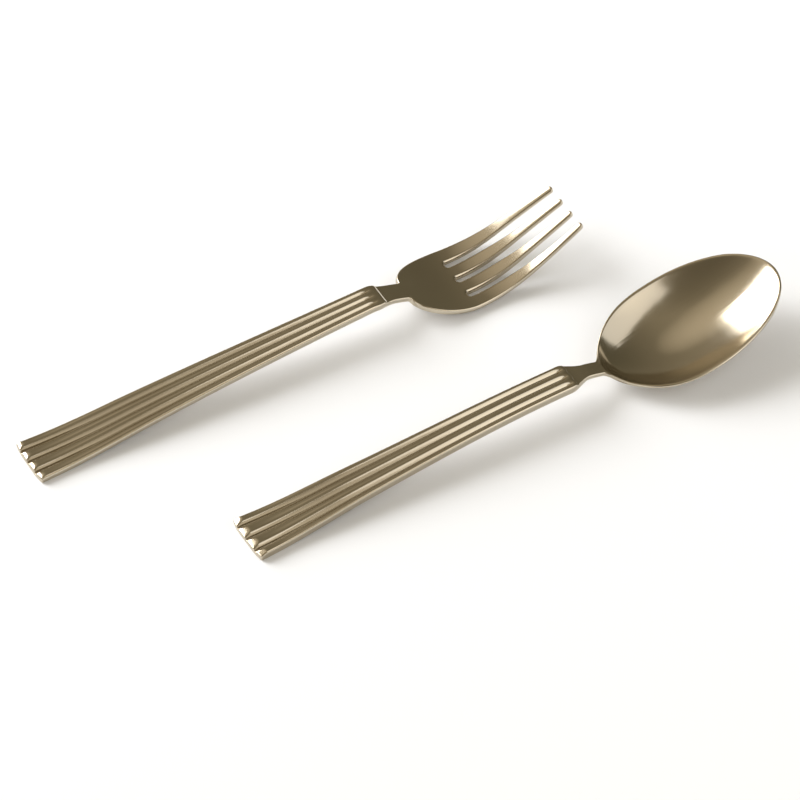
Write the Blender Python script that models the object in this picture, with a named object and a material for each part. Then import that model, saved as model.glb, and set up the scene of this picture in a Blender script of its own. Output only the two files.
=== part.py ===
"""A fork and a spoon with reeded handles, lying side by side as a two-piece cutlery set.

Each piece is one moulding. A flat blank is laid out as a grid, cut to its outline, pressed to
its height line and given its thickness, and its edges are rounded. Lengths are in millimetres
and run along each piece from the end of its handle; the meshes are in metres.
"""
import math

import bmesh
import bpy
from mathutils import Matrix, Vector

MM = 0.001

# Four reeds run down each handle, and a narrow lane parts each from the next
REEDS = 4
REED_FACETS = 4
REED_HALF_ANGLE = math.radians(64)
LANE_WIDTH = 0.3
REST_LENGTH = 4.0
END_BULGE = 0.6
LONG_STEP = 7.5
FINE_STEP = 3.6

# Edges
TOP_ROUND = 0.35
UNDER_ROUND = 0.40
ROUND_SEGMENTS = 2

# Fork
FORK_LENGTH = 188.6
FORK_END_HALF = 8.5
FORK_REED_END_HALF = 4.6
FORK_TAPER = 1.3
FORK_HANDLE_THICKNESS = 2.4
FORK_END_ROUND = 1.8
FORK_END_DROP = 1.1
FORK_REED_END = 121.5
FORK_REED_DEPTH = 1.45
FORK_REED_SHARE = 0.555
FORK_REED_SHOULDER = 0.5
FORK_REED_FADE = 3.0
FORK_LAND = 2.0
FORK_STEP = 0.8
FORK_BEND_AT = 38.0
FORK_BEND_RISE = 2.95
FORK_BEND_SLOPE = 0.095
FORK_ARCH_AT = 116.0
FORK_ARCH_RISE = 8.6
FORK_ARCH_SLOPE = 0.06
FORK_NECK_HALF = 3.55
FORK_NARROWS_AT = 119.0
FORK_NECK_AT = 125.5
FORK_NECK_THICKNESS = 1.8
FORK_SHOULDER = 130.6
FORK_BELLY_AT = 150.0
FORK_HEAD_HALF = 13.35
FORK_HEAD_THICKNESS = 1.65
FORK_HEAD_DISH = 1.0
FORK_TINE_RISE_AT = 168.0
FORK_TINE_RISE = 4.1
FORK_TINE_SLOPE = 0.42
FORK_TIP_HALF = 10.05
FORK_TIP_RISE = 13.5
FORK_TIP_SLOPE = 0.48
FORK_TIP_THICKNESS = 1.5
FORK_TIP_ROUND = 1.2
SLOT_WIDTH = 3.5
SLOT_ROOT = 149.0
SLOT_ROOT_FLAT = 1.1

# Spoon
SPOON_LENGTH = 187.1
SPOON_END_HALF = 8.45
SPOON_REED_END_HALF = 5.05
SPOON_TAPER = 2.05
SPOON_HANDLE_THICKNESS = 2.8
SPOON_END_ROUND = 2.2
SPOON_END_DROP = 1.1
SPOON_REED_END = 113.3
SPOON_REED_DEPTH = 1.3
SPOON_REED_SHARE = 0.61
SPOON_REED_SHOULDER = 0.3
SPOON_REED_FADE = 3.0
SPOON_BEND_AT = 36.8
SPOON_BEND_RISE = 2.95
SPOON_BEND_SLOPE = 0.083
SPOON_ARCH_AT = 110.8
SPOON_ARCH_RISE = 7.3
SPOON_ARCH_SLOPE = -0.01
SPOON_NECK_HALF = 2.4
SPOON_NARROWS_AT = 110.8
SPOON_NECK_AT = 119.0
SPOON_NECK_THICKNESS = 1.65
BOWL_HEEL = 123.8
BOWL_WIDEST_AT = 154.3
BOWL_HALF = 20.15
BOWL_HEEL_FULLNESS = 2.65
BOWL_HEEL_POINT = 0.8
BOWL_TIP_FULLNESS = 1.95
BOWL_DIP_AT = 128.8
BOWL_DIP_RISE = 4.8
BOWL_DIP_SLOPE = 0.09
BOWL_TIP_RISE = 16.2
BOWL_TIP_SLOPE = 0.17
BOWL_THICKNESS = 1.1
BOWL_LONG_ROUND = 2.2
BOWL_CROSS_ROUND = 2.0
BOWL_ROWS = 12

# How far the spoon lies from the fork, and the small turn of each about the vertical
SPOON_AHEAD = 41.9
SPOON_ASIDE = 59.8
FORK_TURN = math.radians(-0.5)
SPOON_TURN = math.radians(0.5)

# Finish of both pieces
GOLD_COLOUR = (0.62, 0.52, 0.38, 1.0)
GOLD_ROUGHNESS = 0.12


def ease(value, low, high):
    """0 up to low, 1 from high on, and a smooth rise between"""
    x = min(max((value - low) / (high - low), 0.0), 1.0)
    return x * x * (3.0 - 2.0 * x)


def mix(first, second, share):
    return first + (second - first) * share


def bent_line(s, knots):
    """Height at s on the smooth line through knots of place, height and slope"""
    for (s0, h0, m0), (s1, h1, m1) in zip(knots, knots[1:]):
        if s <= s1:
            break
    span = s1 - s0
    x = (s - s0) / span
    start = h0 * (1 + 2 * x) * (1 - x) ** 2 + m0 * span * x * (1 - x) ** 2
    return start + h1 * x * x * (3 - 2 * x) + m1 * span * x * x * (x - 1)


def spaced(start, end, step):
    """Places from just after start up to end, evenly spaced by about step"""
    count = max(1, round((end - start) / step))
    return [start + (end - start) * (k + 1) / count for k in range(count)]


class Piece:
    """What the fork and the spoon share: a reeded handle, and two skins pressed from one blank"""

    def handle_half(self, s):
        left = max(1.0 - s / self.reed_end, 0.0)
        return self.reed_end_half + (self.end_half - self.reed_end_half) * left ** self.taper

    def lane(self, s):
        return LANE_WIDTH

    def pitch(self, s):
        return self.reed_share * self.half(s)

    def strip_edges(self, s):
        """The two edges of each strip across the blank; a strip is a reed or a tine"""
        half, pitch, lane = self.half(s), self.pitch(s), self.lane(s)
        lanes = [pitch * k for k in (-1, 0, 1)]
        lows = [-half] + [middle + lane / 2 for middle in lanes]
        highs = [middle - lane / 2 for middle in lanes] + [half]
        return list(zip(lows, highs))

    def bulged(self, s, t):
        """The handle's end is a little fuller in its middle"""
        nearness = max(1.0 - s / REST_LENGTH, 0.0)
        return s - END_BULGE * nearness * (1.0 - (t / self.end_half) ** 2)

    def reed_fade(self, s):
        """1 where the reeds are full and 0 where they have run out"""
        last = self.reed_end - self.land
        return 1.0 - ease(s, last - self.reed_run_out, last)

    def end_drop(self, s):
        """How far a reed's crown falls as it rounds over the handle's end"""
        x = min(s / self.end_round, 1.0)
        return self.end_fall * (1.0 - math.sqrt(1.0 - (1.0 - x) ** 2))

    def reed_drop(self, s, strip, across):
        """How far the top skin lies below the reeds' crowns"""
        flat = math.cos(REED_HALF_ANGLE)
        arch = (math.sqrt(1.0 - (across * math.sin(REED_HALF_ANGLE)) ** 2) - flat) / (1.0 - flat)
        outer = (strip == 0 and across < 0) or (strip == REEDS - 1 and across > 0)
        if outer:
            arch = 1.0 - self.reed_shoulder * (1.0 - arch)
        depth = self.reed_depth * self.reed_fade(s)
        crown = min(self.end_drop(s), depth)
        return depth - (depth - crown) * arch

    def sheet(self, s, t):
        """Height of the pressed sheet's underside, before its thickness turns with the slope"""
        return self.line(s) + self.hollow(s, t)

    def normal(self, s, t, reach=0.2):
        along = (self.sheet(s + reach, t) - self.sheet(s - reach, t)) / (2 * reach)
        aside = (self.sheet(s, t + reach) - self.sheet(s, t - reach)) / (2 * reach)
        return Vector((-along, -aside, 1.0)).normalized()

    def skins(self, s, t, strip, across):
        """The top and the under point that stand on one point of the grid"""
        drop = self.reed_drop(s, strip, across)
        s, t = self.place(s, t, across)
        thickness = self.thickness(s)
        crest = Vector((s, t, self.sheet(s, t) + thickness))
        under = crest - self.normal(s, t) * thickness
        return crest - Vector((0, 0, drop)), under


class Fork(Piece):
    end_half, reed_end_half, taper = FORK_END_HALF, FORK_REED_END_HALF, FORK_TAPER
    reed_end, reed_depth, reed_share = FORK_REED_END, FORK_REED_DEPTH, FORK_REED_SHARE
    reed_shoulder, reed_run_out, land = FORK_REED_SHOULDER, FORK_REED_FADE, FORK_LAND
    end_round, end_fall = FORK_END_ROUND, FORK_END_DROP
    slot_from = SLOT_ROOT
    side = [(0.0, 0.0, 0.0),
            (REST_LENGTH, 0.0, 0.0),
            (FORK_BEND_AT, FORK_BEND_RISE, FORK_BEND_SLOPE),
            (FORK_ARCH_AT, FORK_ARCH_RISE, FORK_ARCH_SLOPE),
            (FORK_BELLY_AT, 0.0, 0.0),
            (FORK_TINE_RISE_AT, FORK_TINE_RISE, FORK_TINE_SLOPE),
            (FORK_LENGTH, FORK_TIP_RISE, FORK_TIP_SLOPE)]

    def half(self, s):
        if s <= FORK_SHOULDER:
            return mix(self.handle_half(s), FORK_NECK_HALF, ease(s, FORK_NARROWS_AT, FORK_NECK_AT))
        if s <= FORK_BELLY_AT:
            x = (s - FORK_SHOULDER) / (FORK_BELLY_AT - FORK_SHOULDER)
            return mix(FORK_NECK_HALF, FORK_HEAD_HALF, math.sqrt(1.0 - (1.0 - x) ** 2))
        x = (s - FORK_BELLY_AT) / (FORK_LENGTH - FORK_BELLY_AT)
        return mix(FORK_HEAD_HALF, FORK_TIP_HALF, x)

    def lane(self, s):
        """Width between strips: a narrow lane, and past the round roots the whole slot"""
        if s < SLOT_ROOT:
            return mix(LANE_WIDTH, SLOT_ROOT_FLAT, ease(s, FORK_SHOULDER, SLOT_ROOT))
        radius = SLOT_WIDTH / 2
        into = min(s - SLOT_ROOT, radius)
        return max(SLOT_ROOT_FLAT, 2 * math.sqrt(radius ** 2 - (radius - into) ** 2))

    def pitch(self, s):
        """Between slot centres, so that the four tines are equally wide"""
        even = (self.half(s) + SLOT_WIDTH / 2) / 2
        return mix(FORK_REED_SHARE * self.half(s), even, ease(s, FORK_SHOULDER, SLOT_ROOT))

    def thickness(self, s):
        handle = mix(FORK_HANDLE_THICKNESS, FORK_NECK_THICKNESS,
                     ease(s, FORK_REED_END, FORK_REED_END + FORK_STEP))
        head = mix(handle, FORK_HEAD_THICKNESS, ease(s, FORK_NECK_AT, SLOT_ROOT))
        return mix(head, FORK_TIP_THICKNESS, ease(s, FORK_BELLY_AT, FORK_LENGTH))

    def line(self, s):
        return bent_line(s, self.side)

    def hollow(self, s, t):
        """The head is a shallow trough, so its outer tines lie a little higher"""
        return FORK_HEAD_DISH * ease(s, FORK_NECK_AT, SLOT_ROOT) * (t / FORK_HEAD_HALF) ** 2

    def place(self, s, t, across):
        """Where a point of the grid goes: rows near the tips bend back, which rounds each tip"""
        nearness = max(1.0 - (FORK_LENGTH - s) / (2 * FORK_TIP_ROUND), 0.0)
        back = FORK_TIP_ROUND * (1.0 - math.sqrt(1.0 - 0.9 * across ** 2))
        return self.bulged(s, t) - back * nearness, t

    def stations(self):
        reeds_full = FORK_REED_END - FORK_LAND - FORK_REED_FADE
        shoulder = [FORK_SHOULDER + (SLOT_ROOT - 2.0 - FORK_SHOULDER) * (1.0 - math.cos(a * math.pi / 14))
                    for a in range(8)]
        radius = SLOT_WIDTH / 2
        roots = [SLOT_ROOT + radius * x for x in (0.0, 0.18, 0.5, 1.0)]
        tips = [FORK_LENGTH - 2 * FORK_TIP_ROUND, FORK_LENGTH - FORK_TIP_ROUND, FORK_LENGTH]
        return ([0.0, 0.4 * FORK_END_ROUND, FORK_END_ROUND, REST_LENGTH]
                + spaced(REST_LENGTH, reeds_full, LONG_STEP)
                + spaced(reeds_full, FORK_REED_END, 1.25)
                + spaced(FORK_REED_END, FORK_SHOULDER, 1.6)
                + shoulder[1:] + roots
                + spaced(roots[-1], tips[0], FINE_STEP) + tips[1:])


class Spoon(Piece):
    end_half, reed_end_half, taper = SPOON_END_HALF, SPOON_REED_END_HALF, SPOON_TAPER
    reed_end, reed_depth, reed_share = SPOON_REED_END, SPOON_REED_DEPTH, SPOON_REED_SHARE
    reed_shoulder, reed_run_out, land = SPOON_REED_SHOULDER, SPOON_REED_FADE, 0.0
    end_round, end_fall = SPOON_END_ROUND, SPOON_END_DROP
    slot_from = None
    side = [(0.0, 0.0, 0.0),
            (REST_LENGTH, 0.0, 0.0),
            (SPOON_BEND_AT, SPOON_BEND_RISE, SPOON_BEND_SLOPE),
            (SPOON_ARCH_AT, SPOON_ARCH_RISE, SPOON_ARCH_SLOPE),
            (BOWL_DIP_AT, BOWL_DIP_RISE, BOWL_DIP_SLOPE),
            (SPOON_LENGTH, BOWL_TIP_RISE, BOWL_TIP_SLOPE)]

    def __init__(self):
        """The bowl is as deep as lets it touch the table together with the handle's end"""
        rows = spaced(BOWL_HEEL, SPOON_LENGTH, 1.0)[:-1]
        self.depth = min(self.line(s) / self.fill(s, 0.0) for s in rows)

    def from_widest(self, s):
        """0 where the bowl is widest, and 1 at its heel and at its tip"""
        end = BOWL_HEEL if s < BOWL_WIDEST_AT else SPOON_LENGTH
        return min((s - BOWL_WIDEST_AT) / (end - BOWL_WIDEST_AT), 1.0)

    def bowl_half(self, s):
        """Half the bowl's width: a pointed oval at the heel and a round one at the tip"""
        if s <= BOWL_HEEL:
            return 0.0
        if s < BOWL_WIDEST_AT:
            power, point = BOWL_HEEL_FULLNESS, BOWL_HEEL_POINT
        else:
            power, point = BOWL_TIP_FULLNESS, 1.0 / BOWL_TIP_FULLNESS
        return BOWL_HALF * (1.0 - self.from_widest(s) ** power) ** point

    def fill(self, s, t):
        """The bowl's depth at a point, as a share of its greatest depth"""
        half = self.bowl_half(s)
        if abs(t) >= half:
            return 0.0
        return (1.0 - self.from_widest(s) ** BOWL_LONG_ROUND) * (1.0 - abs(t / half) ** BOWL_CROSS_ROUND)

    def half(self, s):
        if s >= BOWL_WIDEST_AT:
            return BOWL_HALF
        neck = mix(self.handle_half(s), SPOON_NECK_HALF, ease(s, SPOON_NARROWS_AT, SPOON_NECK_AT))
        return max(neck, self.bowl_half(s))

    def thickness(self, s):
        neck = mix(SPOON_HANDLE_THICKNESS, SPOON_NECK_THICKNESS,
                   ease(s, SPOON_NARROWS_AT, SPOON_NECK_AT))
        return mix(neck, BOWL_THICKNESS, ease(s, SPOON_NECK_AT, BOWL_DIP_AT))

    def line(self, s):
        return bent_line(s, self.side)

    def hollow(self, s, t):
        return -self.depth * self.fill(s, t)

    def place(self, s, t, across):
        """Where a point of the grid goes: past the bowl's widest, rows bend round to its tip"""
        if s <= BOWL_WIDEST_AT:
            return self.bulged(s, t), t
        reach = SPOON_LENGTH - BOWL_WIDEST_AT
        a, b = (s - BOWL_WIDEST_AT) / reach, t / BOWL_HALF
        x, y = a * math.sqrt(1.0 - b * b / 2), b * math.sqrt(1.0 - a * a / 2)
        angle = math.atan2(y, x)
        power = BOWL_TIP_FULLNESS
        push = (math.cos(angle) ** power + abs(math.sin(angle)) ** power) ** (-1.0 / power)
        return BOWL_WIDEST_AT + reach * x * push, BOWL_HALF * y * push

    def stations(self):
        reeds_full = SPOON_REED_END - SPOON_REED_FADE
        heel = [BOWL_WIDEST_AT - (BOWL_WIDEST_AT - BOWL_HEEL) * math.cos(a * math.pi / (2 * BOWL_ROWS))
                for a in range(1, BOWL_ROWS + 1)]
        return ([0.0, 0.4 * SPOON_END_ROUND, SPOON_END_ROUND, REST_LENGTH]
                + spaced(REST_LENGTH, reeds_full, LONG_STEP)
                + spaced(reeds_full, SPOON_REED_END, 1.0)
                + spaced(SPOON_REED_END, BOWL_HEEL, 1.7)
                + heel
                + spaced(BOWL_WIDEST_AT, SPOON_LENGTH, FINE_STEP))


def blank(bm, rows, columns):
    """A flat grid whose points know their row and column"""
    row = bm.verts.layers.int.new("row")
    column = bm.verts.layers.int.new("column")
    bmesh.ops.create_grid(bm, x_segments=rows - 1, y_segments=columns - 1, size=0.5)
    for vert in bm.verts:
        vert[row] = round((vert.co.x + 0.5) * (rows - 1))
        vert[column] = round((vert.co.y + 0.5) * (columns - 1))
    return row, column


def cut_slots(bm, row, column, first_row):
    """Takes the lanes out of the blank from the slots' roots to the tips"""
    strip = REED_FACETS + 1
    lanes = [face for face in bm.faces
             if min(vert[row] for vert in face.verts) >= first_row
             and len({vert[column] // strip for vert in face.verts}) == 2]
    bmesh.ops.delete(bm, geom=lanes, context="FACES")


def round_edges(bm, skin, width):
    """Rounds every edge where the skin meets the side wall"""
    faces = set(skin)
    edges = [edge for edge in bm.edges if len(faces.intersection(edge.link_faces)) == 1]
    bmesh.ops.bevel(bm, geom=edges, offset=width * MM, offset_type="OFFSET", affect="EDGES",
                    segments=ROUND_SEGMENTS, profile=0.5, clamp_overlap=True, material=-1)


def press(piece):
    """Presses a blank to the piece's shape: top skin, under skin and the wall between them"""
    stations = piece.stations()
    bm = bmesh.new()
    row, column = blank(bm, len(stations), REEDS * (REED_FACETS + 1))
    if piece.slot_from is not None:
        cut_slots(bm, row, column, stations.index(piece.slot_from))
    top_faces = bm.faces[:]
    lifted = bmesh.ops.extrude_face_region(bm, geom=top_faces)["geom"]
    under_verts = {item for item in lifted if isinstance(item, bmesh.types.BMVert)}
    under_faces = [item for item in lifted if isinstance(item, bmesh.types.BMFace)]
    for vert in bm.verts:
        strip, facet = divmod(vert[column], REED_FACETS + 1)
        turn = REED_HALF_ANGLE * (2.0 * facet / REED_FACETS - 1.0)
        across = math.sin(turn) / math.sin(REED_HALF_ANGLE)
        s = stations[vert[row]]
        low, high = piece.strip_edges(s)[strip]
        top, under = piece.skins(s, mix(low, high, (across + 1.0) / 2), strip, across)
        vert.co = (under if vert in under_verts else top) * MM
    round_edges(bm, under_faces, UNDER_ROUND)
    round_edges(bm, top_faces, TOP_ROUND)
    bmesh.ops.recalc_face_normals(bm, faces=bm.faces)
    return bm


def gold_finish():
    material = bpy.data.materials.new("champagne_gold")
    material.use_nodes = True
    shader = material.node_tree.nodes["Principled BSDF"]
    shader.inputs["Base Color"].default_value = GOLD_COLOUR
    shader.inputs["Metallic"].default_value = 1.0
    shader.inputs["Roughness"].default_value = GOLD_ROUGHNESS
    return material


def add_piece(name, piece, material):
    bm = press(piece)
    mesh = bpy.data.meshes.new(name)
    bm.to_mesh(mesh)
    bm.free()
    mesh.materials.append(material)
    thing = bpy.data.objects.new(name, mesh)
    bpy.context.collection.objects.link(thing)
    return thing


def lay(thing, ahead, aside, turn):
    """Lays a piece on the table, its handle's end at the given place"""
    thing.matrix_world = Matrix.Translation(Vector((ahead, aside, 0)) * MM) @ Matrix.Rotation(turn, 4, "Z")


def centre_over_origin(things):
    """Puts the middle of the set's box over the origin; its lowest point is at height 0"""
    bpy.context.view_layer.update()
    corners = [thing.matrix_world @ Vector(corner) for thing in things for corner in thing.bound_box]
    lows = [min(corner[axis] for corner in corners) for axis in range(3)]
    highs = [max(corner[axis] for corner in corners) for axis in range(3)]
    middle = Vector(((lows[0] + highs[0]) / 2, (lows[1] + highs[1]) / 2, lows[2]))
    for thing in things:
        thing.matrix_world = Matrix.Translation(-middle) @ thing.matrix_world


def main():
    for old in list(bpy.data.objects):
        bpy.data.objects.remove(old, do_unlink=True)
    gold = gold_finish()
    fork = add_piece("fork", Fork(), gold)
    spoon = add_piece("spoon", Spoon(), gold)
    lay(fork, 0.0, 0.0, FORK_TURN)
    lay(spoon, SPOON_AHEAD, -SPOON_ASIDE, SPOON_TURN)
    centre_over_origin([fork, spoon])


main()
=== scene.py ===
"""A fork and a spoon in champagne gold, laid side by side on a white table in soft studio light.

Both pieces are metallised plastic mouldings. Each is pressed from a flat grid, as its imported
solid is, but with its edges rolled over and smoothed, and it takes that solid's place. Lengths
in the shape functions are in millimetres and run from the end of the handle.
"""
import functools
import math

import bmesh
import bpy
from mathutils import Matrix, Vector

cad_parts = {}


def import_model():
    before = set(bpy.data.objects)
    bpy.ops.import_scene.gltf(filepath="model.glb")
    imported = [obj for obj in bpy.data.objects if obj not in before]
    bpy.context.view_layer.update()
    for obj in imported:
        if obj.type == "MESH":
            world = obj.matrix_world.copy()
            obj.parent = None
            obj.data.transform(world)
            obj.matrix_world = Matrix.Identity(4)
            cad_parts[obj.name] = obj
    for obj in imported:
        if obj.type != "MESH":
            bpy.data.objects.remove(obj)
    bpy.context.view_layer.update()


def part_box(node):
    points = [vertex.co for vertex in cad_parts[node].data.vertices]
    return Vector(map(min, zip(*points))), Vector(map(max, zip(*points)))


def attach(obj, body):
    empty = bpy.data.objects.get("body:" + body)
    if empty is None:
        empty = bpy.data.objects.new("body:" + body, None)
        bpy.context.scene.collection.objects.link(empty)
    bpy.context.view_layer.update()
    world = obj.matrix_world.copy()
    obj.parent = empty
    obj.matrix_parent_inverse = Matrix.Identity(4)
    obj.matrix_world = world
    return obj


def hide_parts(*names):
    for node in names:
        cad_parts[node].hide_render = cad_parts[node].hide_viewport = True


MM = 0.001

# Four reeds run down each handle, and a narrow lane parts each from the next
REEDS = 4
REED_FACETS = 10
LANE_WIDTH = 0.26
REED_POWER = 2.0
REED_END_POWER = 3.5
REED_CHANGES_BY = 25.0
REST_LENGTH = 4.0
END_BULGE = 0.6
END_FULLNESS = 4.0
LONG_STEP = 3.0
FINE_STEP = 1.5
DETAIL_STEP = 0.5
EDGE_ROUND = 0.34
LANE_ROUND = 0.14
REED_END_ROUND = 1.6
NECK_RISE = 6.0
CREASE_SOFTNESS = 5.0

# Fork
FORK_LENGTH = 188.6
FORK_END_HALF = 8.5
FORK_REED_END_HALF = 4.6
FORK_TAPER = 1.3
FORK_HANDLE_THICKNESS = 2.4
FORK_END_ROUND = 1.8
FORK_END_DROP = 1.1
FORK_END_POWER = 2.0
FORK_END_LEDGE = 0.0
FORK_REED_END = 121.5
FORK_REED_DEPTH = 1.45
FORK_REED_SHARE = 0.555
FORK_REED_SHOULDER = 0.5
FORK_REED_FADE = 4.5
FORK_REED_STEP = 0.0
FORK_LAND = 1.0
FORK_STEP = 0.8
FORK_BEND_AT = 38.0
FORK_BEND_RISE = 2.95
FORK_BEND_SLOPE = 0.095
FORK_ARCH_AT = 116.0
FORK_ARCH_RISE = 8.6
FORK_ARCH_SLOPE = 0.06
FORK_NECK_HALF = 3.55
FORK_NARROWS_AT = 119.0
FORK_NECK_AT = 125.5
FORK_NECK_THICKNESS = 1.8
FORK_SHOULDER = 130.6
FORK_BELLY_AT = 150.0
FORK_HEAD_HALF = 13.35
FORK_HEAD_THICKNESS = 1.65
FORK_HEAD_DISH = 1.0
FORK_TINE_DISH = 0.45
FORK_HEAD_FILL = 0.6
FORK_FILL_END = 182.0
FORK_HEAD_TAPER = 1.3
FORK_TINE_CROWN = 0.14
FORK_SLOT_EDGE = 0.9
FORK_SLOT_EDGE_END = 166.0
FORK_TINE_RISE_AT = 168.0
FORK_TINE_RISE = 3.95
FORK_TINE_SLOPE = 0.4
FORK_TIP_HALF = 10.05
FORK_TIP_RISE = 13.5
FORK_TIP_SLOPE = 0.48
FORK_TIP_THICKNESS = 1.5
FORK_TIP_ROUND = 1.2
SLOT_ROOT_WIDTH = 2.1
SLOT_TIP_WIDTH = 3.9
SLOT_WIDENS_AT = 154.0
SLOT_WIDE_AT = 178.0
SLOT_PITCH = 7.0
SLOT_PITCH_TAPER = 2.2
SLOT_TIP_PITCH = 5.9
SLOT_ROOT = 149.0
SLOT_ROOT_FLAT = 0.6
SLOT_ROOT_ROUND = SLOT_ROOT_WIDTH / 2

# Spoon
SPOON_LENGTH = 187.1
SPOON_END_HALF = 8.45
SPOON_REED_END_HALF = 5.05
SPOON_TAPER = 2.05
SPOON_HANDLE_THICKNESS = 2.8
SPOON_END_ROUND = 1.9
SPOON_END_DROP = 0.72
SPOON_END_POWER = 1.05
SPOON_END_LEDGE = 0.2
SPOON_REED_END = 113.3
SPOON_REED_DEPTH = 1.45
SPOON_REED_SHARE = 0.61
SPOON_REED_SHOULDER = 0.27
SPOON_REED_FADE = 4.0
SPOON_REED_STEP = 0.4
SPOON_BEND_AT = 36.8
SPOON_BEND_RISE = 2.95
SPOON_BEND_SLOPE = 0.083
SPOON_ARCH_AT = 116.0
SPOON_ARCH_RISE = 7.4
SPOON_ARCH_SLOPE = -0.02
SPOON_NECK_HALF = 2.65
SPOON_NECK_FILLET = 3.5
SPOON_NARROWS_AT = 110.8
SPOON_NECK_AT = 119.0
SPOON_NECK_THICKNESS = 1.65
BOWL_HEEL = 123.8
BOWL_WIDEST_AT = 154.3
BOWL_HALF = 20.15
BOWL_HEEL_FULLNESS = 2.65
BOWL_HEEL_POINT = 0.8
BOWL_TIP_FULLNESS = 1.95
BOWL_DIP_AT = 130.5
BOWL_DIP_RISE = 4.95
BOWL_DIP_SLOPE = 0.09
BOWL_TIP_RISE = 16.2
BOWL_TIP_SLOPE = 0.17
BOWL_THICKNESS = 1.1
BOWL_LONG_ROUND = 2.2
BOWL_CROSS_ROUND = 2.0
BOWL_RIM = 0.8
BOWL_ROWS = 30

# How far the spoon lies from the fork, and the small turn of each about the vertical
SPOON_AHEAD = 41.9
SPOON_ASIDE = 59.8
FORK_TURN = math.radians(-0.5)
SPOON_TURN = math.radians(0.5)

# Camera: where it looks, from the end of the fork's handle, and from where
LOOK_AHEAD = 109.6
LOOK_ASIDE = -33.9
CAMERA_AROUND = math.radians(-30.4)
CAMERA_UP = math.radians(48.5)
CAMERA_AWAY = 1500.0
CAMERA_LENS = 221.4

TABLE_HALF = 1400.0


def ease(value, low, high):
    """0 up to low, 1 from high on, and a smooth rise between"""
    x = min(max((value - low) / (high - low), 0.0), 1.0)
    return x * x * (3.0 - 2.0 * x)


def mix(first, second, share):
    return first + (second - first) * share


def bent_line(s, knots):
    """Height at s on the smooth line through knots of place, height and slope"""
    for (s0, h0, m0), (s1, h1, m1) in zip(knots, knots[1:]):
        if s <= s1:
            break
    span = s1 - s0
    x = (s - s0) / span
    start = h0 * (1 + 2 * x) * (1 - x) ** 2 + m0 * span * x * (1 - x) ** 2
    return start + h1 * x * x * (3 - 2 * x) + m1 * span * x * x * (x - 1)


def spaced(start, end, step):
    """Places from just after start up to end, evenly spaced by about step"""
    count = max(1, round((end - start) / step))
    return [start + (end - start) * (k + 1) / count for k in range(count)]


def softly_deeper(first, second):
    """The deeper of two cuts, with the crease where they meet a little rounded"""
    return (first ** CREASE_SOFTNESS + second ** CREASE_SOFTNESS) ** (1.0 / CREASE_SOFTNESS)


def rolled(distance, radius):
    """How far a rolled edge falls at a distance in from it"""
    x = min(max(distance / radius, 0.0), 1.0)
    return radius * (1.0 - math.sqrt(1.0 - (1.0 - x) ** 2))


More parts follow.
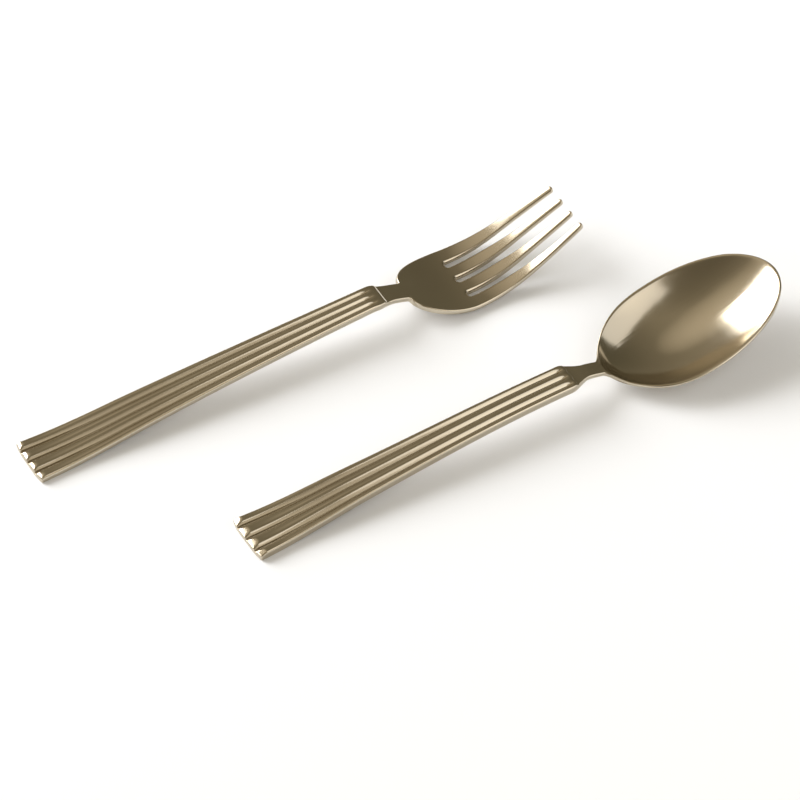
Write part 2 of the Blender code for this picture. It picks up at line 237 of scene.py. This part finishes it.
class Piece:
    """What the fork and the spoon share: a reeded handle, and two skins pressed from one blank"""

    def handle_half(self, s):
        left = max(1.0 - s / self.reed_end, 0.0)
        return self.reed_end_half + (self.end_half - self.reed_end_half) * left ** self.taper

    def lane(self, s):
        return LANE_WIDTH

    def pitch(self, s):
        return self.reed_share * self.half(s)

    def strip_edges(self, s):
        """The two edges of each strip across the blank; a strip is a reed or a tine"""
        half, pitch, lane = self.half(s), self.pitch(s), self.lane(s)
        lanes = [pitch * k for k in (-1, 0, 1)]
        lows = [-half] + [middle + lane / 2 for middle in lanes]
        highs = [middle - lane / 2 for middle in lanes] + [half]
        return list(zip(lows, highs))

    def across(self, s, strip, column):
        """Where a column of a strip runs: -1 and 1 are the strip's edges, two columns roll each edge"""
        low, high = self.strip_edges(s)[strip]
        half = (high - low) / 2
        rolls = [self.rim(s) if free else LANE_ROUND for free in self.free_sides(s, strip)]
        left, right = (min(roll / half, 0.4) for roll in rolls)
        if column < 2:
            return -1.0 + left * (0.0, 0.3)[column]
        if column > REED_FACETS + 2:
            return 1.0 - right * (0.3, 0.0)[column - REED_FACETS - 3]
        return mix(-1.0 + left, 1.0 - right, (column - 2) / REED_FACETS)

    def rim(self, s):
        """How far in from an open edge the third column runs"""
        return EDGE_ROUND

    def free_sides(self, s, strip):
        """Whether a strip's low and high sides are open edges of the piece"""
        return strip == 0, strip == REEDS - 1

    def bulged(self, s, t):
        """The handle's end is a little fuller in its middle"""
        nearness = max(1.0 - s / REST_LENGTH, 0.0)
        return s - END_BULGE * nearness * (1.0 - abs(t / self.end_half) ** END_FULLNESS)

    def lane_depth(self, s):
        """How deep the lanes are: less as the reeds narrow, and nothing where they have run out"""
        last = self.reed_end - self.land
        fade = 1.0 - ease(s, last - self.reed_run_out, last)
        return self.reed_depth * fade * self.handle_half(s) / self.end_half

    def end_drop(self, s):
        """How far a reed's crown falls as it rounds over the handle's end"""
        x = min(max((s - self.end_ledge) / self.end_round, 0.0), 1.0)
        return self.end_fall * (1.0 - (1.0 - (1.0 - x) ** self.end_power) ** (1.0 / self.end_power))

    def step_drop(self, s):
        """How far the crowns fall where the reeds end, and the neck's top after them"""
        if s < self.reed_end:
            x = min((self.reed_end - s) / REED_END_ROUND, 1.0)
            return self.reed_step * (1.0 - math.sqrt(1.0 - (1.0 - x) ** 2))
        return self.reed_step * (1.0 - ease(s, self.reed_end, self.reed_end + NECK_RISE))

    def fall(self, s, strip, across):
        """How a reed falls from its crown, as a share of the lanes' depth: each outer reed is as wide
        as the others from its lane to its crown, and falls less on its open side"""
        power = mix(REED_END_POWER, REED_POWER, ease(s, REST_LENGTH, REED_CHANGES_BY))
        side = {0: -1.0, REEDS - 1: 1.0}.get(strip, 0.0)
        shift = abs(side) * (self.reed_share / (1.0 - self.reed_share) - 1.0)
        outward = across * side - shift
        if side and outward > 0.0:
            return self.reed_shoulder * (outward / (1.0 - shift)) ** power
        return (abs(across - side * shift) / (1.0 + shift)) ** power

    def reed_drop(self, s, strip, across):
        """How far the top skin lies below the reeds' crowns"""
        crown = max(self.end_drop(s), self.step_drop(s))
        return softly_deeper(self.lane_depth(s) * self.fall(s, strip, across), crown)

    def sheet(self, s, t):
        """Height of the pressed sheet's underside, before its thickness turns with the slope"""
        return self.line(s) + self.hollow(s, t)

    def normal(self, s, t, reach=0.2):
        along = (self.sheet(s + reach, t) - self.sheet(s - reach, t)) / (2 * reach)
        aside = (self.sheet(s, t + reach) - self.sheet(s, t - reach)) / (2 * reach)
        return Vector((-along, -aside, 1.0)).normalized()

    def outline_distance(self, s, t, reach=0.2):
        """Distance in from the side of the outline"""
        slope = (self.half(s + reach) - self.half(s - reach)) / (2 * reach)
        return (self.half(s) - abs(t)) / math.hypot(1.0, slope)

    def edge_distance(self, s, t, strip, across):
        return min(self.outline_distance(s, t), s)

    def edge_roll(self, s, t, strip, across):
        """How far the rolled edge brings the top skin down"""
        return rolled(self.edge_distance(s, t, strip, across), EDGE_ROUND)

    def skins(self, s, t, strip, across):
        """The top and the under point that stand on one point of the grid"""
        drop = self.reed_drop(s, strip, across)
        roll = self.edge_roll(s, t, strip, across)
        under_roll = rolled(self.edge_distance(s, t, strip, across), EDGE_ROUND)
        s, t = self.place(s, t, across)
        thickness = self.thickness(s, t)
        crest = Vector((s, t, self.sheet(s, t) + thickness))
        normal = self.normal(s, t)
        under = crest - normal * (thickness - under_roll)
        return crest - Vector((0, 0, drop)) - normal * roll, under


class Fork(Piece):
    end_half, reed_end_half, taper = FORK_END_HALF, FORK_REED_END_HALF, FORK_TAPER
    reed_end, reed_depth, reed_share = FORK_REED_END, FORK_REED_DEPTH, FORK_REED_SHARE
    reed_shoulder, reed_run_out, land = FORK_REED_SHOULDER, FORK_REED_FADE, FORK_LAND
    end_round, end_fall, end_power = FORK_END_ROUND, FORK_END_DROP, FORK_END_POWER
    end_ledge, reed_step = FORK_END_LEDGE, FORK_REED_STEP
    slot_from = SLOT_ROOT
    side = [(0.0, 0.0, 0.0),
            (REST_LENGTH, 0.0, 0.0),
            (FORK_BEND_AT, FORK_BEND_RISE, FORK_BEND_SLOPE),
            (FORK_ARCH_AT, FORK_ARCH_RISE, FORK_ARCH_SLOPE),
            (FORK_BELLY_AT, 0.0, 0.0),
            (FORK_TINE_RISE_AT, FORK_TINE_RISE, FORK_TINE_SLOPE),
            (FORK_LENGTH, FORK_TIP_RISE, FORK_TIP_SLOPE)]

    def half(self, s):
        if s <= FORK_SHOULDER:
            return mix(self.handle_half(s), FORK_NECK_HALF, ease(s, FORK_NARROWS_AT, FORK_NECK_AT))
        if s <= FORK_BELLY_AT:
            x = (s - FORK_SHOULDER) / (FORK_BELLY_AT - FORK_SHOULDER)
            return mix(FORK_NECK_HALF, FORK_HEAD_HALF, math.sqrt(1.0 - (1.0 - x) ** 2))
        x = (s - FORK_BELLY_AT) / (FORK_LENGTH - FORK_BELLY_AT)
        return mix(FORK_HEAD_HALF, FORK_TIP_HALF, x ** FORK_HEAD_TAPER)

    def lane(self, s):
        """Width between strips: a narrow lane, and past the round roots the whole slot"""
        if s < SLOT_ROOT:
            return mix(LANE_WIDTH, SLOT_ROOT_FLAT, ease(s, FORK_SHOULDER, SLOT_ROOT))
        radius = self.slot_half(s)
        into = min(s - SLOT_ROOT, radius)
        return max(SLOT_ROOT_FLAT, 2 * math.sqrt(radius ** 2 - (radius - into) ** 2))

    def slot_half(self, s):
        return mix(SLOT_ROOT_WIDTH, SLOT_TIP_WIDTH, ease(s, SLOT_WIDENS_AT, SLOT_WIDE_AT)) / 2

    def pitch(self, s):
        """Between slot centres, which draw together towards the tips"""
        past_root = max(s - SLOT_ROOT, 0.0) / (FORK_LENGTH - SLOT_ROOT)
        slots = mix(SLOT_PITCH, SLOT_TIP_PITCH, past_root ** SLOT_PITCH_TAPER)
        return mix(FORK_REED_SHARE * self.half(s), slots, ease(s, FORK_SHOULDER, SLOT_ROOT))

    def free_sides(self, s, strip):
        slotted = s > SLOT_ROOT - 2 * FORK_SLOT_EDGE
        return strip == 0 or slotted, strip == REEDS - 1 or slotted

    def slot_distance(self, s, t):
        """Distance from the nearest slot, whose root is round"""
        aside = min(abs(t - self.pitch(s) * k) for k in (-1, 0, 1))
        ahead = min(s - SLOT_ROOT - SLOT_ROOT_ROUND, 0.0)
        return math.hypot(ahead, aside) - self.slot_half(s)

    def edge_distance(self, s, t, strip, across):
        return min(self.outline_distance(s, t), self.slot_distance(s, t), s, FORK_LENGTH - s)

    def edge_roll(self, s, t, strip, across):
        """The slots' upper edges are rounder than the others"""
        outer = super().edge_roll(s, t, strip, across)
        return max(outer, rolled(self.slot_distance(s, t), self.slot_edge(s)))

    def slot_edge(self, s):
        return mix(FORK_SLOT_EDGE, EDGE_ROUND, ease(s, SLOT_ROOT, FORK_SLOT_EDGE_END))

    def rim(self, s):
        return mix(EDGE_ROUND, self.slot_edge(s), ease(s, FORK_BELLY_AT - 2.0, FORK_BELLY_AT))

    def thickness(self, s, t):
        handle = mix(FORK_HANDLE_THICKNESS, FORK_NECK_THICKNESS,
                     ease(s, FORK_REED_END, FORK_REED_END + FORK_STEP))
        head = mix(handle, FORK_HEAD_THICKNESS, ease(s, FORK_NECK_AT, SLOT_ROOT))
        middle = ease(s, FORK_NECK_AT, SLOT_ROOT) - ease(s, SLOT_WIDENS_AT, FORK_FILL_END)
        fill = FORK_HEAD_FILL * middle * (1.0 - (t / FORK_HEAD_HALF) ** 2)
        return mix(head, FORK_TIP_THICKNESS, ease(s, FORK_BELLY_AT, FORK_LENGTH)) + fill

    def reed_drop(self, s, strip, across):
        """Each tine is a little crowned"""
        low, high = self.strip_edges(s)[strip]
        crown = FORK_TINE_CROWN * (high - low) / 2 * across ** 2
        return super().reed_drop(s, strip, across) + crown * ease(s, FORK_TINE_RISE_AT, FORK_LENGTH)

    def line(self, s):
        return bent_line(s, self.side)

    def hollow(self, s, t):
        """The head is a shallow trough, so its outer tines lie a little higher"""
        dish = mix(FORK_HEAD_DISH, FORK_TINE_DISH, ease(s, SLOT_ROOT, FORK_TINE_RISE_AT))
        return dish * ease(s, FORK_NECK_AT, SLOT_ROOT) * (t / FORK_HEAD_HALF) ** 2

    def place(self, s, t, across):
        """Where a point of the grid goes: rows near the tips bend back, which rounds each tip"""
        nearness = max(1.0 - (FORK_LENGTH - s) / (2 * FORK_TIP_ROUND), 0.0)
        back = FORK_TIP_ROUND * (1.0 - math.sqrt(1.0 - 0.9 * across ** 2))
        return self.bulged(s, t) - back * nearness, t

    def stations(self):
        reeds_full = FORK_REED_END - FORK_LAND - FORK_REED_FADE
        shoulder = [FORK_SHOULDER + (SLOT_ROOT - 1.0 - FORK_SHOULDER) * (1.0 - math.cos(a * math.pi / 44))
                    for a in range(23)]
        roots = [SLOT_ROOT - FORK_SLOT_EDGE * x for x in (1.0, 0.6, 0.3, 0.1)]
        roots += [SLOT_ROOT + SLOT_ROOT_ROUND * x for x in (0.0, 0.06, 0.18, 0.34, 0.52, 0.75, 1.0)]
        return (end_rows(FORK_END_LEDGE, FORK_END_ROUND)
                + spaced(REST_LENGTH, reeds_full, LONG_STEP)
                + spaced(reeds_full, FORK_REED_END + FORK_STEP, DETAIL_STEP)
                + spaced(FORK_REED_END + FORK_STEP, FORK_SHOULDER, FINE_STEP)
                + shoulder[1:] + roots
                + spaced(roots[-1], FORK_LENGTH - 2 * FORK_TIP_ROUND, FINE_STEP)
                + spaced(FORK_LENGTH - 2 * FORK_TIP_ROUND, FORK_LENGTH - EDGE_ROUND, DETAIL_STEP)
                + [FORK_LENGTH - 0.3 * EDGE_ROUND, FORK_LENGTH])


class Spoon(Piece):
    end_half, reed_end_half, taper = SPOON_END_HALF, SPOON_REED_END_HALF, SPOON_TAPER
    reed_end, reed_depth, reed_share = SPOON_REED_END, SPOON_REED_DEPTH, SPOON_REED_SHARE
    reed_shoulder, reed_run_out, land = SPOON_REED_SHOULDER, SPOON_REED_FADE, 0.0
    end_round, end_fall, end_power = SPOON_END_ROUND, SPOON_END_DROP, SPOON_END_POWER
    end_ledge, reed_step = SPOON_END_LEDGE, SPOON_REED_STEP
    slot_from = None
    side = [(0.0, 0.0, 0.0),
            (REST_LENGTH, 0.0, 0.0),
            (SPOON_BEND_AT, SPOON_BEND_RISE, SPOON_BEND_SLOPE),
            (SPOON_ARCH_AT, SPOON_ARCH_RISE, SPOON_ARCH_SLOPE),
            (BOWL_DIP_AT, BOWL_DIP_RISE, BOWL_DIP_SLOPE),
            (SPOON_LENGTH, BOWL_TIP_RISE, BOWL_TIP_SLOPE)]

    def __init__(self):
        """The bowl is as deep as lets it touch the table together with the handle's end"""
        rows = spaced(BOWL_HEEL, SPOON_LENGTH, 1.0)[:-1]
        self.depth = min(self.line(s) / self.fill(s, 0.0) for s in rows)

    def from_widest(self, s, rim=0.0):
        """0 where the bowl is widest, and 1 a rim's width in from its heel and its tip"""
        end = BOWL_HEEL + rim if s < BOWL_WIDEST_AT else SPOON_LENGTH - rim
        return min((s - BOWL_WIDEST_AT) / (end - BOWL_WIDEST_AT), 1.0)

    def bowl_half(self, s):
        """Half the bowl's width: a pointed oval at the heel and a round one at the tip"""
        if s <= BOWL_HEEL:
            return 0.0
        if s < BOWL_WIDEST_AT:
            power, point = BOWL_HEEL_FULLNESS, BOWL_HEEL_POINT
        else:
            power, point = BOWL_TIP_FULLNESS, 1.0 / BOWL_TIP_FULLNESS
        return BOWL_HALF * (1.0 - self.from_widest(s) ** power) ** point

    def fill(self, s, t):
        """The bowl's depth at a point, as a share of its greatest depth"""
        half = self.bowl_half(s) - BOWL_RIM
        if abs(t) >= half:
            return 0.0
        along = self.from_widest(s, BOWL_RIM) ** BOWL_LONG_ROUND
        return (1.0 - along) * (1.0 - abs(t / half) ** BOWL_CROSS_ROUND)

    def half(self, s):
        if s >= BOWL_WIDEST_AT:
            return BOWL_HALF
        neck = mix(self.handle_half(s), SPOON_NECK_HALF, ease(s, SPOON_NARROWS_AT, SPOON_NECK_AT))
        bowl = self.bowl_half(s)
        closeness = max(1.0 - abs(neck - bowl) / SPOON_NECK_FILLET, 0.0)
        return max(neck, bowl) + SPOON_NECK_FILLET * closeness ** 2 / 4

    def rim(self, s):
        return mix(EDGE_ROUND, BOWL_RIM, self.into_bowl(s))

    def lane(self, s):
        """The lanes widen in the bowl, where they are no more than columns of the grid"""
        return mix(LANE_WIDTH, BOWL_HALF / (2 * REED_FACETS), ease(s, BOWL_HEEL, BOWL_DIP_AT))

    def pitch(self, s):
        return mix(SPOON_REED_SHARE, 0.5, self.into_bowl(s)) * self.half(s)

    def into_bowl(self, s):
        """0 at the neck and 1 from the bowl's lowest point on"""
        return ease(s, SPOON_NECK_AT, BOWL_DIP_AT)

    def edge_distance(self, s, t, strip, across):
        if s < BOWL_WIDEST_AT:
            return min(self.outline_distance(s, t), s)
        beside = 1.0 - abs(t) / BOWL_HALF
        ahead = (SPOON_LENGTH - s) / (SPOON_LENGTH - BOWL_WIDEST_AT)
        return BOWL_HALF * min(beside, ahead)

    def thickness(self, s, t):
        neck = mix(SPOON_HANDLE_THICKNESS, SPOON_NECK_THICKNESS,
                   ease(s, SPOON_NARROWS_AT, SPOON_NECK_AT))
        return mix(neck, BOWL_THICKNESS, ease(s, SPOON_NECK_AT, BOWL_DIP_AT))

    def line(self, s):
        return bent_line(s, self.side)

    def hollow(self, s, t):
        return -self.depth * self.fill(s, t)

    def place(self, s, t, across):
        """Where a point of the grid goes: past the bowl's widest, rows bend round to its tip"""
        if s <= BOWL_WIDEST_AT:
            return self.bulged(s, t), t
        reach = SPOON_LENGTH - BOWL_WIDEST_AT
        a, b = (s - BOWL_WIDEST_AT) / reach, t / BOWL_HALF
        x, y = a * math.sqrt(1.0 - b * b / 2), b * math.sqrt(1.0 - a * a / 2)
        angle = math.atan2(y, x)
        power = BOWL_TIP_FULLNESS
        push = (math.cos(angle) ** power + abs(math.sin(angle)) ** power) ** (-1.0 / power)
        return BOWL_WIDEST_AT + reach * x * push, BOWL_HALF * y * push

    def stations(self):
        reeds_full = SPOON_REED_END - SPOON_REED_FADE
        heel = [BOWL_WIDEST_AT - (BOWL_WIDEST_AT - BOWL_HEEL) * math.cos(a * math.pi / (2 * BOWL_ROWS))
                for a in range(1, BOWL_ROWS + 1)]
        return (end_rows(SPOON_END_LEDGE, SPOON_END_ROUND)
                + spaced(REST_LENGTH, reeds_full, LONG_STEP)
                + spaced(reeds_full, SPOON_REED_END, DETAIL_STEP)
                + spaced(SPOON_REED_END, BOWL_HEEL, DETAIL_STEP)
                + heel
                + spaced(BOWL_WIDEST_AT, SPOON_LENGTH - BOWL_RIM, FINE_STEP)
                + [SPOON_LENGTH - 0.3 * BOWL_RIM, SPOON_LENGTH])


def end_rows(ledge, end_round):
    """Rows that round over the end of a handle"""
    last = ledge + end_round
    return ([0.0, 0.3 * EDGE_ROUND, EDGE_ROUND]
            + spaced(EDGE_ROUND, last, DETAIL_STEP)
            + spaced(last, REST_LENGTH, DETAIL_STEP))


def blank(bm, rows, columns):
    """A flat grid whose points know their row and column"""
    row = bm.verts.layers.int.new("row")
    column = bm.verts.layers.int.new("column")
    bmesh.ops.create_grid(bm, x_segments=rows - 1, y_segments=columns - 1, size=0.5)
    for vert in bm.verts:
        vert[row] = round((vert.co.x + 0.5) * (rows - 1))
        vert[column] = round((vert.co.y + 0.5) * (columns - 1))
    return row, column


def cut_slots(bm, row, column, first_row, strip):
    """Takes the lanes out of the blank from the slots' roots to the tips"""
    lanes = [face for face in bm.faces
             if min(vert[row] for vert in face.verts) >= first_row
             and len({vert[column] // strip for vert in face.verts}) == 2]
    bmesh.ops.delete(bm, geom=lanes, context="FACES")


def press(piece):
    """Presses a blank to the piece's shape: top skin, under skin and the wall between them"""
    stations = piece.stations()
    strip_columns = REED_FACETS + 5
    bm = bmesh.new()
    row, column = blank(bm, len(stations), REEDS * strip_columns)
    if piece.slot_from is not None:
        cut_slots(bm, row, column, stations.index(piece.slot_from), strip_columns)
    lifted = bmesh.ops.extrude_face_region(bm, geom=bm.faces[:])["geom"]
    under_verts = {item for item in lifted if isinstance(item, bmesh.types.BMVert)}
    for vert in bm.verts:
        strip, place = divmod(vert[column], strip_columns)
        s = stations[vert[row]]
        across = piece.across(s, strip, place)
        low, high = piece.strip_edges(s)[strip]
        top, under = piece.skins(s, mix(low, high, (across + 1.0) / 2), strip, across)
        vert.co = (under if vert in under_verts else top) * MM
    bmesh.ops.recalc_face_normals(bm, faces=bm.faces)
    return bm


def linear(code):
    """An sRGB hex colour as the linear values that shaders take"""
    parts = [int(code[k:k + 2], 16) / 255 for k in (1, 3, 5)]
    return [p / 12.92 if p <= 0.04045 else ((p + 0.055) / 1.055) ** 2.4 for p in parts] + [1.0]


def add_node(tree, kind, links=(), **settings):
    """Adds a node with its settings; links pairs each of its inputs with another node's output"""
    node = tree.nodes.new(kind)
    for name, value in settings.items():
        if name.startswith("in_"):
            node.inputs[name[3:].replace("_", " ")].default_value = value
        else:
            setattr(node, name, value)
    for socket, source in links:
        tree.links.new(source, node.inputs[socket])
    return node


def new_material(name):
    material = bpy.data.materials.new(name)
    material.use_nodes = True
    return material, material.node_tree, material.node_tree.nodes["Principled BSDF"]


def metallised_polystyrene():
    """Moulded polystyrene, vacuum-metallised in champagne gold: a mirror with a warm tint, whose
    picture swims a little because the skin follows every flow ripple of the moulding"""
    material, tree, shader = new_material("metallised_polystyrene")
    where = add_node(tree, "ShaderNodeTexCoord").outputs["Object"]
    tone = add_node(tree, "ShaderNodeTexNoise", [("Vector", where)], in_Scale=1 / 0.030, in_Detail=2.0)
    ramp = add_node(tree, "ShaderNodeValToRGB", [("Fac", tone.outputs["Fac"])])
    ramp.color_ramp.elements[0].position = 0.35
    ramp.color_ramp.elements[0].color = linear("#C5BAA7")
    ramp.color_ramp.elements[1].position = 0.65
    ramp.color_ramp.elements[1].color = linear("#CAC0AD")
    tree.links.new(ramp.outputs["Color"], shader.inputs["Base Color"])
    haze = add_node(tree, "ShaderNodeTexNoise", [("Vector", where)], in_Scale=1 / 0.012, in_Detail=4.0)
    spread = add_node(tree, "ShaderNodeMapRange", [("Value", haze.outputs["Fac"])],
                      in_From_Min=0.3, in_From_Max=0.7, in_To_Min=0.12, in_To_Max=0.17)
    tree.links.new(spread.outputs["Result"], shader.inputs["Roughness"])
    ripple = add_node(tree, "ShaderNodeTexNoise", [("Vector", where)], in_Scale=1 / 0.007, in_Detail=1.0)
    bump = add_node(tree, "ShaderNodeBump", [("Height", ripple.outputs["Fac"])],
                    in_Strength=1.0, in_Distance=0.00003)
    tree.links.new(bump.outputs["Normal"], shader.inputs["Normal"])
    shader.inputs["Metallic"].default_value = 1.0
    return material


def lay_turn(ahead, aside, turn):
    return Matrix.Translation(Vector((ahead, aside, 0)) * MM) @ Matrix.Rotation(turn, 4, "Z")


def add_piece(name, node, shape, material, where):
    bm = press(shape)
    bmesh.ops.transform(bm, matrix=where, verts=bm.verts)
    mesh = bpy.data.meshes.new(name)
    bm.to_mesh(mesh)
    bm.free()
    mesh.materials.append(material)
    for face in mesh.polygons:
        face.use_smooth = True
    thing = bpy.data.objects.new(name, mesh)
    bpy.context.collection.objects.link(thing)
    smoothing = thing.modifiers.new("smooth", "SUBSURF")
    smoothing.levels = smoothing.render_levels = 1
    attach(thing, "root")
    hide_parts(node)
    return thing


def fork_start():
    """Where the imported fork's handle begins: its box's middle, less the middle of a fork laid at 0"""
    probe = press(Fork())
    turned = [lay_turn(0, 0, FORK_TURN) @ vert.co for vert in probe.verts]
    probe.free()
    low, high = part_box("fork")
    spans = [(min(p[axis] for p in turned) + max(p[axis] for p in turned)) / 2 for axis in range(2)]
    return [(low[axis] + high[axis]) / 2 - spans[axis] for axis in range(2)]


def studio_point(target, right, ahead, up):
    """A place in the studio: so far right of what the camera looks at, beyond it and above it"""
    turn = Matrix.Rotation(CAMERA_AROUND, 3, "Z")
    return target + turn @ Vector((right, ahead, up)) * MM


def aim(thing, place, target, roll=0.0):
    turned = (target - place).to_track_quat("-Z", "Y").to_matrix() @ Matrix.Rotation(roll, 3, "Z")
    thing.location = place
    thing.rotation_euler = turned.to_euler()


def softbox(name, place, target, width, height, radiance, colour, roll=0.0):
    """An even light panel that faces the target, as bright as its radiance says"""
    light = bpy.data.lights.new(name, "AREA")
    light.shape = "RECTANGLE"
    light.size, light.size_y = width * MM, height * MM
    light.energy = math.pi * radiance * light.size * light.size_y
    light.color = linear(colour)[:3]
    lamp = bpy.data.objects.new(name, light)
    bpy.context.collection.objects.link(lamp)
    aim(lamp, place, target, math.radians(roll))


def add_camera(target):
    data = bpy.data.cameras.new("camera")
    data.lens = CAMERA_LENS
    camera = bpy.data.objects.new("camera", data)
    bpy.context.collection.objects.link(camera)
    away, up = CAMERA_AWAY * math.cos(CAMERA_UP), CAMERA_AWAY * math.sin(CAMERA_UP)
    aim(camera, studio_point(target, 0.0, -away, up), target)
    bpy.context.scene.camera = camera


def add_table():
    """A plain white table top"""
    bm = bmesh.new()
    bmesh.ops.create_grid(bm, x_segments=1, y_segments=1, size=TABLE_HALF * MM)
    mesh = bpy.data.meshes.new("table")
    bm.to_mesh(mesh)
    bm.free()
    material, tree, shader = new_material("white_table")
    shader.inputs["Base Color"].default_value = linear("#F2F4F8")
    shader.inputs["Roughness"].default_value = 0.9
    shader.inputs["Specular IOR Level"].default_value = 0.1
    mesh.materials.append(material)
    table = bpy.data.objects.new("table", mesh)
    bpy.context.collection.objects.link(table)


def sky_lobe(tree, way, compass, low, high, codes):
    """Colours around one direction: codes[0] far from it, codes[1] right at it"""
    lobe = add_node(tree, "ShaderNodeVectorMath", [(0, way)], operation="DOT_PRODUCT")
    lobe.inputs[1].default_value = Matrix.Rotation(CAMERA_AROUND, 3, "Z") @ Vector(compass).normalized()
    ramp = add_node(tree, "ShaderNodeValToRGB", [("Fac", lobe.outputs["Value"])])
    for element, place, code in zip(ramp.color_ramp.elements, (low, high), codes):
        element.position = place
        element.color = linear(code)
    return ramp.outputs["Color"]


def add_world():
    """A warm dim room: dark beyond the pieces to the right and behind the camera, paler by the wall
    and, low down, on the camera's right"""
    world = bpy.data.worlds.new("studio")
    world.use_nodes = True
    tree = world.node_tree
    way = add_node(tree, "ShaderNodeTexCoord").outputs["Generated"]
    ahead = sky_lobe(tree, way, (0.71, 0.59, 0.37), 0.35, 1.0, ("#9A907B", "#65604F"))
    behind = sky_lobe(tree, way, (-0.12, -0.70, 0.70), 0.75, 1.0, ("#FFFFFF", "#B0AEA8"))
    beside = sky_lobe(tree, way, (-0.45, 0.30, 0.84), 0.86, 1.0, ("#000000", "#9C9486"))
    horizon = sky_lobe(tree, way, (0.66, -0.66, 0.36), 0.72, 1.0, ("#000000", "#A8A39A"))
    shaded = add_node(tree, "ShaderNodeVectorMath", [(0, ahead), (1, behind)], operation="MULTIPLY")
    glows = add_node(tree, "ShaderNodeVectorMath", [(0, beside), (1, horizon)], operation="ADD")
    lit = add_node(tree, "ShaderNodeVectorMath",
                   [(0, shaded.outputs["Vector"]), (1, glows.outputs["Vector"])], operation="ADD")
    tree.links.new(lit.outputs["Vector"], tree.nodes["Background"].inputs["Color"])
    bpy.context.scene.world = world


def add_lights(target):
    """A key light before a tall leaning wall on the left, a soft fill from the camera's left, and a
    dimmer panel close by on the right"""
    place = functools.partial(studio_point, target)
    softbox("left_wall", place(-1500, 1384, 515), place(0, 1384, 515), 3200, 2200, 4.6, "#FFFFFF", 50.0)
    softbox("key", place(-1500, 800, 950), target, 1000, 1000, 7.0, "#FFFFFF")
    softbox("fill", place(-1100, -1500, 900), target, 1400, 1400, 1.1, "#FFFFFF")
    softbox("right_panel", place(557, -26, 299), place(167, 199, 4), 745, 750, 0.92, "#FFFFFF")


def main():
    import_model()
    start = fork_start()
    place = Matrix.Translation((start[0], start[1], 0))
    gold = metallised_polystyrene()
    add_piece("polished_fork", "fork", Fork(), gold, place @ lay_turn(0, 0, FORK_TURN))
    add_piece("polished_spoon", "spoon", Spoon(), gold,
              place @ lay_turn(SPOON_AHEAD, -SPOON_ASIDE, SPOON_TURN))
    target = Vector((start[0] + LOOK_AHEAD * MM, start[1] + LOOK_ASIDE * MM, 0.0))
    add_table()
    add_camera(target)
    add_world()
    add_lights(target)
    bpy.context.scene.view_settings.view_transform = "Standard"


main()
